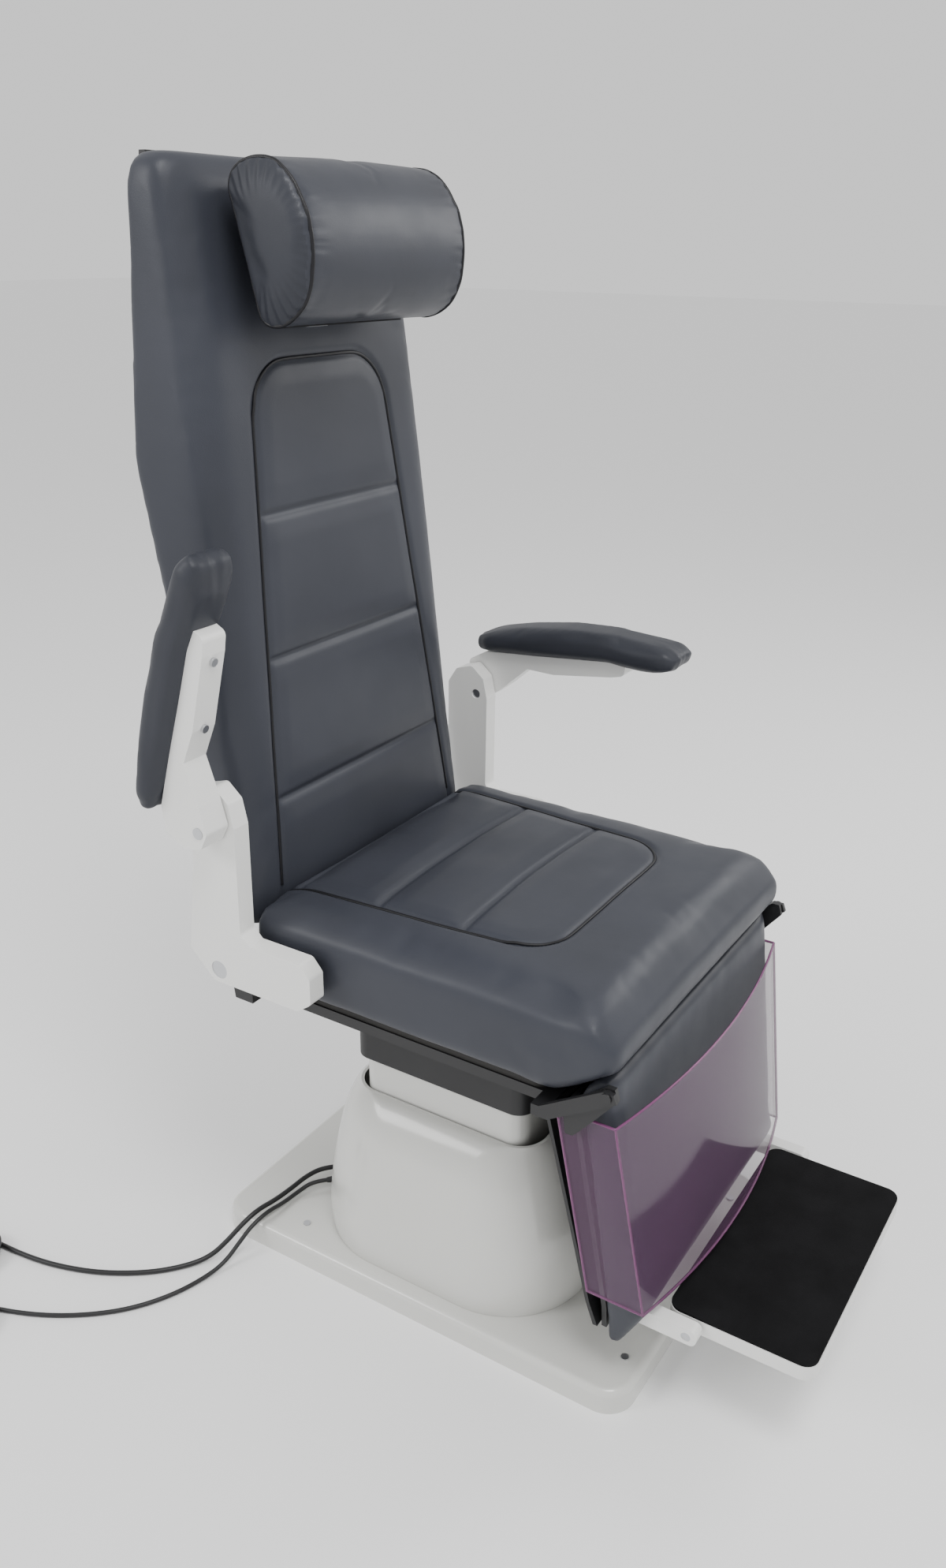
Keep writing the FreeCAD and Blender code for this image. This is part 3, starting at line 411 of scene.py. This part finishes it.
def rounded_outline(corners, count):
    """Evenly spaced points round a polygon whose corners are cut by smooth curves."""
    dense = []
    total = len(corners)
    for index, (x, y, radius) in enumerate(corners):
        here = Vector((x, y))
        before = Vector(corners[index - 1][:2])
        after = Vector(corners[(index + 1) % total][:2])
        start = here + (before - here).normalized() * min(radius, (before - here).length * 0.48)
        end = here + (after - here).normalized() * min(radius, (after - here).length * 0.48)
        for step in range(9):
            t = step / 8
            dense.append(start * (1 - t) ** 2 + here * 2 * t * (1 - t) + end * t ** 2)
    lengths = [0.0]
    for index in range(len(dense)):
        lengths.append(lengths[-1] + (dense[(index + 1) % len(dense)] - dense[index]).length)
    points = []
    index = 0
    for step in range(count):
        target = lengths[-1] * step / count
        while lengths[index + 1] < target:
            index += 1
        span = lengths[index + 1] - lengths[index]
        share = (target - lengths[index]) / span if span > 1e-9 else 0
        point = dense[index].lerp(dense[(index + 1) % len(dense)], share)
        points.append((point.x, point.y))
    return points


# ---- cords --------------------------------------------------------------------------------------------

MAINS_ROUTE = [
    (-88, 207.5, 46), (-103, 225.5, 46), (-128, 237, 44), (-160, 241, 41), (-194, 243, 43), (-226, 247, 47),
    (-252, 253, 38), (-274, 261, 22), (-297, 272, 7), (-325, 289, 3.8), (-362, 322, 3.8), (-398, 376, 3.8),
    (-421, 436, 3.8), (-432, 492, 3.8), (-436, 545, 3.8),
]
CONTROL_ROUTE = [
    (-123, 205.8, 46), (-137, 221, 45.5), (-160, 229, 40), (-190, 231, 41), (-220, 234, 46), (-248, 239, 39),
    (-271, 243, 24), (-297, 247, 8), (-328, 254, 3.3), (-374, 268, 3.3), (-424, 298, 3.3), (-468, 346, 3.3),
    (-501, 402, 3.3), (-524, 455, 3.3),
]


def middle_of(node):
    low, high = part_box(node)
    return (low + high) / 2


def coil_turns(centre, start_angle, layers, diameter, turns_per_layer=2):
    """Points of turns that climb in layers, each layer of an outer and an inner turn."""
    low = centre.z
    points = []
    per_turn = 14
    total = layers * turns_per_layer * per_turn
    outer = 5.5 * diameter + diameter / 2
    for step in range(total):
        turn = step / per_turn
        layer = int(turn // turns_per_layer)
        inside = turn % turns_per_layer
        radius = outer - diameter * 1.04 * (inside if layer % 2 == 0 else turns_per_layer - 1 - inside)
        radius = max(radius, outer - diameter * 1.04)
        angle = start_angle + turn * 2 * math.pi
        height = low + diameter * (0.54 + 0.98 * turn / turns_per_layer)
        across = radius * math.cos(angle)
        along = radius * math.sin(angle)
        points.append(Vector((centre.x + across, centre.y + along, height)))
    return points


def make_cord(name, route, diameter, coil, layers, tail, nodes):
    start = [Vector(point) * MM for point in route]
    centre = middle_of(coil)
    centre.z = GROUND
    approach = start[-1] - centre
    turns = coil_turns(centre, math.atan2(approach.y, approach.x) + 0.35, layers, diameter)
    piece = tube(name, start[:-1] + turns + tail, diameter / 2, "cord_black")
    length = piece_length(piece)
    settle(piece, "base")
    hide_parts(*nodes)
    return piece, length


def piece_length(piece):
    """The length of a curve's centreline."""
    depth = piece.data.bevel_depth
    piece.data.bevel_depth = 0
    bpy.context.view_layer.update()
    line = bpy.data.meshes.new_from_object(piece.evaluated_get(bpy.context.evaluated_depsgraph_get()))
    piece.data.bevel_depth = depth
    places = coordinates(line)
    return float(np.linalg.norm(np.diff(places, axis=0), axis=1).sum())


def plug_tail(plug):
    """Points that lead from the coil's top into the back of the plug."""
    low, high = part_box(plug)
    x = (low.x + high.x) / 2
    z = (low.z + high.z) / 2
    places = ((x + 0.004, low.y - 0.030, z), (x, low.y - 0.012, z), (x, low.y + 0.003, z))
    return [Vector(place) for place in places]


def make_cords():
    tail = plug_tail("mains_plug")
    mains, length = make_cord("mains_lead", MAINS_ROUTE, 0.007, "mains_coil", 3, tail,
                              ("mains_cord", "mains_coil"))
    print("mains lead length", length)
    tail = plug_tail("control_connector")
    control, length = make_cord("control_lead", CONTROL_ROUTE, 0.006, "control_coil", 2, tail,
                                ("control_cord", "control_coil"))
    print("control lead length", length)
    for coil, height in (("mains_coil", 0.0225), ("control_coil", 0.0135)):
        make_tie(coil, height)


def make_tie(coil, height):
    """A strap tie round one side of a coil."""
    low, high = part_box(coil)
    centre = (low + high) / 2
    outer = (high.x - low.x) / 2
    middle = outer - 0.007
    spot = Vector((centre.x, centre.y - middle, 0))
    points = []
    for step in range(16):
        angle = step * math.tau / 16
        rise = height / 2 + 0.0006 + (height / 2) * math.sin(angle)
        points.append(spot + Vector((0, 0.0088 * math.cos(angle), rise)))
    tie = tube(coil + "_tie", points, 0.0008, "cord_black", cyclic=True)
    settle(tie, "base")


make_cords()

# ---- seat ---------------------------------------------------------------------------------------------

SEAT_LOW, SEAT_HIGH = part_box("seat_pad")
SEAT_SEAMS = [0.180, 0.065, -0.051]
SEAT_PANEL_FRONT = -0.160
SEAT_PANEL_CORNER = 0.055
SEAT_CROWN = 0.0008


def seat_panel_half(y):
    return mix(0.163, 0.188, (y - SEAT_PANEL_FRONT) / (SEAT_HIGH.y - SEAT_PANEL_FRONT))


def seat_ring(y, count=72):
    """A cross-section of the seat cushion at a station along its depth."""
    front, rear = SEAT_LOW.y, SEAT_HIGH.y
    inset = 0.003
    ahead = y - front
    corner = 0.040
    narrow = corner - math.sqrt(max(0, corner ** 2 - max(0, corner - ahead) ** 2)) if ahead < corner else 0
    half = SEAT_HIGH.x - inset - narrow * 0.75
    top = SEAT_HIGH.z - 0.001 - 0.036 * (1 - smoothstep(0, 0.055, ahead)) ** 1.5
    low = SEAT_LOW.z + inset + 0.052 * (1 - smoothstep(-0.01, 0.094, ahead))
    middle = (top + low) / 2
    tall = (top - low) / 2
    ring = []
    for step in range(count):
        angle = step * math.tau / count
        c, s = math.cos(angle), math.sin(angle)
        x = half * math.copysign(abs(c) ** (0.26 if s > 0 else 0.16), c)
        z = tall * math.copysign(abs(s) ** (0.40 if s > 0 else 0.22), s)
        ring.append(Vector((x, y, middle + z)))
    return ring


def distance_to_panel(x, y, half, front, radius):
    """Signed distance from a panel outline that is open behind and has round front corners."""
    dx = abs(x) - (half - radius)
    dy = (front + radius) - y
    if dx > 0 and dy > 0:
        return math.hypot(dx, dy) - radius
    return max(dx, dy) - radius


def seat_detail(place, normal):
    """Crown, panel groove and sewn channels on the top of the seat."""
    up = smoothstep(0.35, 0.8, normal.z)
    if up <= 0:
        return None
    x, y = place.x, place.y
    edge = distance_to_panel(x, y, seat_panel_half(y), SEAT_PANEL_FRONT, SEAT_PANEL_CORNER)
    drop = 0.0040 * math.exp(-(edge / 0.0045) ** 2)
    puffed = 0.0
    if edge < 0:
        nearest = min(abs(y - seam - 0.010 * (1 - (x / 0.19) ** 2)) for seam in SEAT_SEAMS)
        drop += 0.0046 * math.exp(-(nearest / 0.0050) ** 2) * smoothstep(0, 0.008, -edge)
        puffed = 0.0030 * smoothstep(0, 0.03, nearest) * smoothstep(0, 0.03, -edge)
    crown = SEAT_CROWN * (1 - min(1, (x / SEAT_HIGH.x) ** 2))
    ripple = 0.0010 * noise.noise(Vector((x * 14, y * 14, 1.7)))
    return Vector((0, 0, up * (crown + puffed + ripple - drop)))


def make_seat():
    stations = [SEAT_LOW.y + ahead for ahead in (0.006, 0.012, 0.022, 0.035, 0.055)]
    count = 22
    for step in range(1, count):
        stations.append(mix(SEAT_LOW.y + 0.055, SEAT_HIGH.y - 0.012, step / (count - 1)))
    stations.append(SEAT_HIGH.y - 0.004)
    seat = loft("seat_cushion", [seat_ring(y) for y in stations], "upholstery")
    puff(seat, 0.006, 0.006)
    displaced(seat, seat_detail)
    settle(seat, "seat")
    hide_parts("seat_pad")
    tree = surface_of(seat)
    path = []
    rear, front, radius = SEAT_HIGH.y - 0.012, SEAT_PANEL_FRONT, SEAT_PANEL_CORNER
    for step in range(14):
        y = mix(rear, front + radius, step / 13)
        path.append((-seat_panel_half(y), y))
    for step in range(1, 8):
        angle = step / 8 * math.pi / 2
        half = seat_panel_half(front)
        path.append((-half + radius * (1 - math.cos(angle)), front + radius * (1 - math.sin(angle))))
    path += [(x, front) for x in np.linspace(-0.10, 0, 5)]
    path += [(-x, y) for x, y in reversed(path[:-1])]
    points = [on_surface(tree, (x, y, SEAT_HIGH.z), (0, 0, 1), 0.0004) for x, y in path]
    settle(tube("seat_piping", points, 0.0021, "piping"), "seat")


make_seat()

# ---- back ---------------------------------------------------------------------------------------------

BACK_LOW, BACK_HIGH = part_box("back_pad")
BACK_FRONT = [(0.494, 0.200), (1.375, 0.2985), (1.385, 0.306)]
BACK_REAR = [(0.494, 0.262), (0.674, 0.292), (1.055, 0.382), (1.385, 0.360)]
BACK_POCKET = 0.017
BACK_SEAMS = [0.993, 0.825, 0.655]
BACK_PANEL_TOP = 1.163
BACK_PANEL_CORNER = 0.060


def back_half(z):
    return mix(0.242, 0.216, (z - 0.494) / (1.385 - 0.494))


def back_panel_half(z):
    return mix(0.187, 0.123, (z - 0.551) / (BACK_PANEL_TOP - 0.551))


def back_ring(z, grow, count=80):
    """A cross-section of the back at a height: a flat front, long bevels to the sides and a flat rear."""
    half = back_half(z) - 0.002 - 0.05 * (1 - grow)
    front = interpolate(BACK_FRONT, z) + 0.004
    rear = interpolate(BACK_REAR, z) - 0.004
    depth = rear - front
    middle = (front + rear) / 2
    shrink = mix(0.35, 1, grow)
    bevel = min(0.012, depth * 0.4)
    corners = [(-half, rear, 0.006), (-half, front + bevel, 0.012), (-half + 0.030, front - 0.002, 0.020),
               (half - 0.030, front - 0.002, 0.020), (half, front + bevel, 0.012), (half, rear, 0.006)]
    flat = rounded_outline(corners, count)
    return [Vector((x, middle + (y - middle) * shrink, z)) for x, y in flat]


def back_detail(place, normal):
    """Panel groove and cross seams on the front of the back."""
    ahead = smoothstep(0.4, 0.85, -normal.y)
    if ahead <= 0:
        return None
    x, z = place.x, place.z
    edge = distance_to_panel(x, -z, back_panel_half(z), -BACK_PANEL_TOP, BACK_PANEL_CORNER)
    drop = 0.0038 * math.exp(-(edge / 0.0045) ** 2)
    puffed = 0.0
    if edge < 0:
        nearest = min(abs(z - seam) for seam in BACK_SEAMS)
        drop += 0.0042 * math.exp(-(nearest / 0.0048) ** 2) * smoothstep(0, 0.008, -edge)
        puffed = 0.0028 * smoothstep(0, 0.035, nearest) * smoothstep(0, 0.03, -edge)
    ripple = 0.0008 * noise.noise(Vector((x * 12, z * 12, 4.1)))
    return Vector((0, ahead * (drop - puffed - ripple), 0))


def back_pocket(place, normal):
    """The shallow recess behind the back that holds the frame and the shell."""
    half = mix(0.2075, 0.1835, (place.z - 0.494) / (1.385 - 0.494))
    deep = interpolate(BACK_REAR, place.z) - BACK_POCKET - 0.001
    inside = abs(place.x) < half + 0.003 and place.z < 1.383
    return Vector((0, deep - place.y, 0)) if inside and place.y > deep else None


def make_back():
    low, high = BACK_LOW.z + 0.004, BACK_HIGH.z - 0.004
    heights = [(low, 0.75), (low + 0.006, 0.9), (low + 0.016, 0.98), (low + 0.03, 1.0)]
    count = 30
    for step in range(1, count):
        heights.append((mix(low + 0.03, high - 0.04, step / (count - 1)), 1.0))
    heights += [(high - 0.022, 0.97), (high - 0.010, 0.88), (high - 0.003, 0.70), (high, 0.5)]
    back = loft("back_cushion", [back_ring(z, grow) for z, grow in heights], "upholstery")
    puff(back, 0.0065, 0.005)
    displaced(back, back_pocket)
    displaced(back, back_detail)
    settle(back, "backrest")
    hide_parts("back_pad")
    tree = surface_of(back)
    path = []
    radius = BACK_PANEL_CORNER
    bottom = 0.548
    for step in range(16):
        z = mix(bottom, BACK_PANEL_TOP - radius, step / 15)
        path.append((-back_panel_half(z), z))
    half = back_panel_half(BACK_PANEL_TOP)
    for step in range(1, 8):
        angle = step / 8 * math.pi / 2
        path.append((-half - 0.003 + (radius + 0.003) * (1 - math.cos(angle)),
                     BACK_PANEL_TOP - radius * (1 - math.sin(angle))))
    path += [(x, BACK_PANEL_TOP) for x in np.linspace(-0.055, 0, 4)]
    path += [(-x, z) for x, z in reversed(path[:-1])]
    points = [on_surface(tree, (x, 0.25, z), (0, -1, 0), 0.0004) for x, z in path]
    settle(tube("back_piping", points, 0.0021, "piping"), "backrest")


make_back()

# ---- headrest -----------------------------------------------------------------------------------------

PILLOW_LOW, PILLOW_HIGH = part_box("headrest_pillow")


def pillow_outline():
    """The D-shaped side view of the pillow, as (y, z, corner radius)."""
    return [(0.2335, 1.196, 0.020), (0.200, 1.200, 0.040), (0.162, 1.232, 0.055), (0.1585, 1.312, 0.060),
            (0.196, 1.371, 0.050), (0.250, 1.3765, 0.030), (0.2775, 1.355, 0.016)]


def make_pillow():
    flat = rounded_outline(pillow_outline(), 84)
    middle_y = sum(y for y, _ in flat) / len(flat)
    middle_z = sum(z for _, z in flat) / len(flat)
    half = PILLOW_HIGH.x - 0.004
    stations = [(-half, 0.93), (-half + 0.002, 0.965), (-half + 0.006, 0.985)]
    stations += [(x, 0.985) for x in np.linspace(-half + 0.02, half - 0.02, 24)]
    stations += [(half - 0.006, 0.985), (half - 0.002, 0.965), (half, 0.93)]
    rings = []
    for x, grow in stations:
        ring = []
        for y, z in flat:
            ring.append(Vector((x, middle_y + (y - middle_y) * grow, middle_z + (z - middle_z) * grow)))
        rings.append(ring)
    pillow = loft("headrest_cushion", rings, "pillow")
    puff(pillow, 0.0045, 0.004)

    def gathers(place, normal):
        radial = Vector((0, place.y - middle_y, place.z - middle_z))
        angle = math.atan2(radial.z, radial.y)
        out = smoothstep(half - 0.010, half - 0.002, abs(place.x)) * smoothstep(0.5, 0.9, abs(normal.x))
        reach = min(1, radial.length / 0.085)
        folds = math.sin(angle * 37 + 1.5 * noise.noise(Vector((angle * 3, 0, 0)))) * 0.5 + 0.5
        cap = out * (0.0045 * (1 - reach ** 2) - 0.0022 * folds * smoothstep(0.45, 0.95, reach))
        near_end = smoothstep(half - 0.045, half - 0.004, abs(place.x)) * (1 - out)
        wrinkle = 0.0012 * near_end * noise.noise(Vector((angle * 9, place.x * 12, 2.0)))
        side = math.copysign(1, place.x)
        return Vector((side * cap, 0, 0)) + normal * wrinkle
    displaced(pillow, gathers)
    paint(pillow, "pillow", "end_cap")
    for face in pillow.data.polygons:
        if abs(face.normal.x) > 0.62 and abs(face.center.x) > half - 0.012:
            face.material_index = 1
    settle(pillow, "headrest")
    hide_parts("headrest_pillow")
    tree = surface_of(pillow)
    for side in (-1, 1):
        points = []
        for y, z in flat[::2]:
            radial = Vector((0, y - middle_y, z - middle_z))
            rim = Vector((side * (half - 0.007), middle_y, middle_z)) + radial * 0.5
            points.append(on_surface(tree, rim, radial, -0.0003))
        name = "headrest_piping_" + ("left" if side > 0 else "right")
        settle(tube(name, points, 0.0024, "piping", cyclic=True), "headrest")


make_pillow()

# ---- legrest ------------------------------------------------------------------------------------------

CALF_FRONT = [(0.086, -0.296), (0.150, -0.329), (0.178, -0.3225), (0.470, -0.2795)]
CALF_REAR = [(0.086, -0.2785), (0.128, -0.2785), (0.400, -0.2445), (0.443, -0.2415), (0.470, -0.262)]


def calf_half(z):
    return mix(0.2125, 0.238, (z - 0.084) / (0.474 - 0.084))


def make_calf_pad():
    rings = []
    heights = [0.0885, 0.093, 0.102, 0.118, 0.136, 0.150, 0.162, 0.178]
    heights += list(np.linspace(0.20, 0.44, 14)) + [0.452, 0.460, 0.465]
    for z in heights:
        half = calf_half(z) - 0.002
        front = interpolate(CALF_FRONT, z) + 0.001
        rear = interpolate(CALF_REAR, z) - 0.002
        corners = [(-half, rear, 0.004), (-half, front, 0.010), (half, front, 0.010), (half, rear, 0.004)]
        rings.append([Vector((x, y, z)) for x, y in rounded_outline(corners, 96)])
    pad = loft("calf_cushion", rings, "upholstery")
    puff(pad, 0.005, 0.0015, pressure=1.0)

    def creases(place, normal):
        if normal.y > 0:
            return None
        high = smoothstep(0.42, 0.46, place.z) + (1 - smoothstep(0.10, 0.16, place.z))
        return normal * (0.0014 * high * noise.noise(Vector((place.x * 30, place.z * 8, 7.0))))
    displaced(pad, creases)
    settle(pad, "legrest")
    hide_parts("calf_pad")


make_calf_pad()

# ---- armrests -----------------------------------------------------------------------------------------

ARM_PIVOT = Vector((0, 0.206, 0.672))
ARM_LOWERED = math.radians(68)
ARM_PAD_SPINE = [  # underside and top of the raised pad, at stations from its lower end to its upper end
    ((0.264, 0.688), (0.286, 0.690)), ((0.2565, 0.712), (0.2865, 0.716)), ((0.243, 0.757), (0.279, 0.768)),
    ((0.2225, 0.824), (0.2625, 0.836)), ((0.2035, 0.887), (0.241, 0.899)), ((0.186, 0.925), (0.2205, 0.942)),
    ((0.172, 0.958), (0.200, 0.984)), ((0.167, 0.982), (0.183, 0.997)),
]


def make_arm_pad(side):
    name = "right" if side < 0 else "left"
    low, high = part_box(name + "_arm_pad")
    middle_x = (low.x + high.x) / 2
    half = (high.x - low.x) / 2 - 0.003
    rings = []
    last = len(ARM_PAD_SPINE) - 1
    samples = 26
    for step in range(samples + 1):
        position = step / samples * last
        index = min(last - 1, int(position))
        share = position - index
        under = Vector(ARM_PAD_SPINE[index][0]).lerp(Vector(ARM_PAD_SPINE[index + 1][0]), share)
        over = Vector(ARM_PAD_SPINE[index][1]).lerp(Vector(ARM_PAD_SPINE[index + 1][1]), share)
        end = min(step, samples - step) / samples
        wide = half * (0.80 + 0.20 * smoothstep(0, 0.12, end))
        across = over - under
        ring = []
        for turn in range(40):
            angle = turn * math.tau / 40
            c, s = math.cos(angle), math.sin(angle)
            x = wide * math.copysign(abs(c) ** 0.45, c)
            rise = 0.5 + 0.5 * math.copysign(abs(s) ** (0.75 if s > 0 else 0.35), s)
            place = under + across * (0.03 + 0.94 * rise)
            ring.append(Vector((middle_x + x, place.x, place.y)))
        rings.append(ring)
    pad = loft(name + "_arm_cushion", rings, "arm")
    puff(pad, 0.004, 0.003)
    tip = Vector((middle_x, 0.176, 0.990))
    heel = Vector((middle_x, 0.275, 0.689))

    def folds(place, normal):
        near_tip = 1 - smoothstep(0.0, 0.065, (place - tip).length)
        near_heel = 1 - smoothstep(0.0, 0.050, (place - heel).length)
        lines = noise.noise(Vector(((place.x - middle_x) * 90, place.z * 25, side * 3.0)))
        slow = noise.noise(Vector((place.x * 18, place.y * 18, place.z * 10)))
        return normal * (0.0022 * (near_tip + near_heel) * lines + 0.0007 * slow)
    displaced(pad, folds)
    if side > 0:
        turn = Matrix.Rotation(ARM_LOWERED, 4, "X")
        pad.data.transform(Matrix.Translation(ARM_PIVOT) @ turn @ Matrix.Translation(-ARM_PIVOT))
    settle(pad, name + "_armrest")
    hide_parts(name + "_arm_pad")


make_arm_pad(-1)
make_arm_pad(1)

# ---- CAD parts that keep their shape ------------------------------------------------------------------


def dress_frame():
    for entry in frame["record"]["subparts"]:
        node = frame["nodes"][entry["node"]]
        slot = "black_metal" if entry["node"] == "legrest_hinge_pins" else entry["material_slot"]
        paint(node, slot)
        smooth_shade(node)


def smooth_shade(node):
    """Marks every face of a CAD part as smooth."""
    node.data.polygons.foreach_set("use_smooth", [True] * len(node.data.polygons))
    node.data.update()


dress_frame()


def make_guard_edges():
    """Polished edges of the sheet, where the tint gathers: a bead along the top, bottom and rear edges."""
    low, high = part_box("calf_guard")
    half = {"top": 0.2405, "low": 0.2185}
    front = {"top": -0.2905, "low": -0.330}
    height = {"top": high.z - 0.0006, "low": low.z + 0.0006}
    bow, wing = 0.027, 0.0718

    def section(level):
        points = [Vector((-half[level], front[level] + wing, height[level]))]
        for step in range(25):
            x = mix(-half[level], half[level], step / 24)
            y = front[level] - bow * (1 - (x / half[level]) ** 2)
            points.append(Vector((x, y, height[level])))
        points.append(Vector((half[level], front[level] + wing, height[level])))
        return points
    top, bottom = section("top"), section("low")
    for name, points in (("top", top), ("bottom", bottom), ("rear_right", [top[0], bottom[0]]),
                         ("rear_left", [top[-1], bottom[-1]]), ("corner_right", [top[1], bottom[1]]),
                         ("corner_left", [top[-2], bottom[-2]])):
        steps = [points[0].lerp(points[-1], share / 6) for share in range(7)] if len(points) == 2 else points
        bead = tube("guard_edge_" + name, steps, 0.0017, "guard_edge")
        bead.data.splines[0].order_u = 2
        settle(bead, "legrest")


make_guard_edges()

# ---- floor and light ----------------------------------------------------------------------------------


def make_floor():
    mesh = bpy.data.meshes.new("floor")
    size = 30
    corners = [(-size, -size, 0), (size, -size, 0), (size, size, 0), (-size, size, 0)]
    mesh.from_pydata(corners, [], [(0, 1, 2, 3)])
    floor = bpy.data.objects.new("floor", mesh)
    bpy.context.scene.collection.objects.link(floor)
    material = new_material("floor_pale", (0.93, 0.93, 0.93), 0.9)
    mesh.materials.append(material)


def area_light(name, place, target, size, power, colour=(1, 1, 1)):
    data = bpy.data.lights.new(name, "AREA")
    data.shape = "DISK"
    data.size = size
    data.energy = power
    data.color = colour
    light = bpy.data.objects.new(name, data)
    bpy.context.scene.collection.objects.link(light)
    light.location = place
    light.rotation_euler = (Vector(target) - Vector(place)).to_track_quat("-Z", "Y").to_euler()


def make_light():
    world = bpy.data.worlds.new("studio")
    bpy.context.scene.world = world
    world.use_nodes = True
    back = world.node_tree.nodes["Background"]
    back.inputs["Color"].default_value = (1, 1, 1, 1)
    back.inputs["Strength"].default_value = 0.95
    area_light("key", (-1.0, -1.2, 3.6), (0, 0, 0.6), 1.4, 70)
    area_light("window", (2.6, -1.4, 2.2), (0, 0, 0.6), 1.5, 30)
    area_light("rear", (-2.4, 1.8, 2.2), (0, 0, 0.7), 1.2, 35)


make_floor()
make_light()
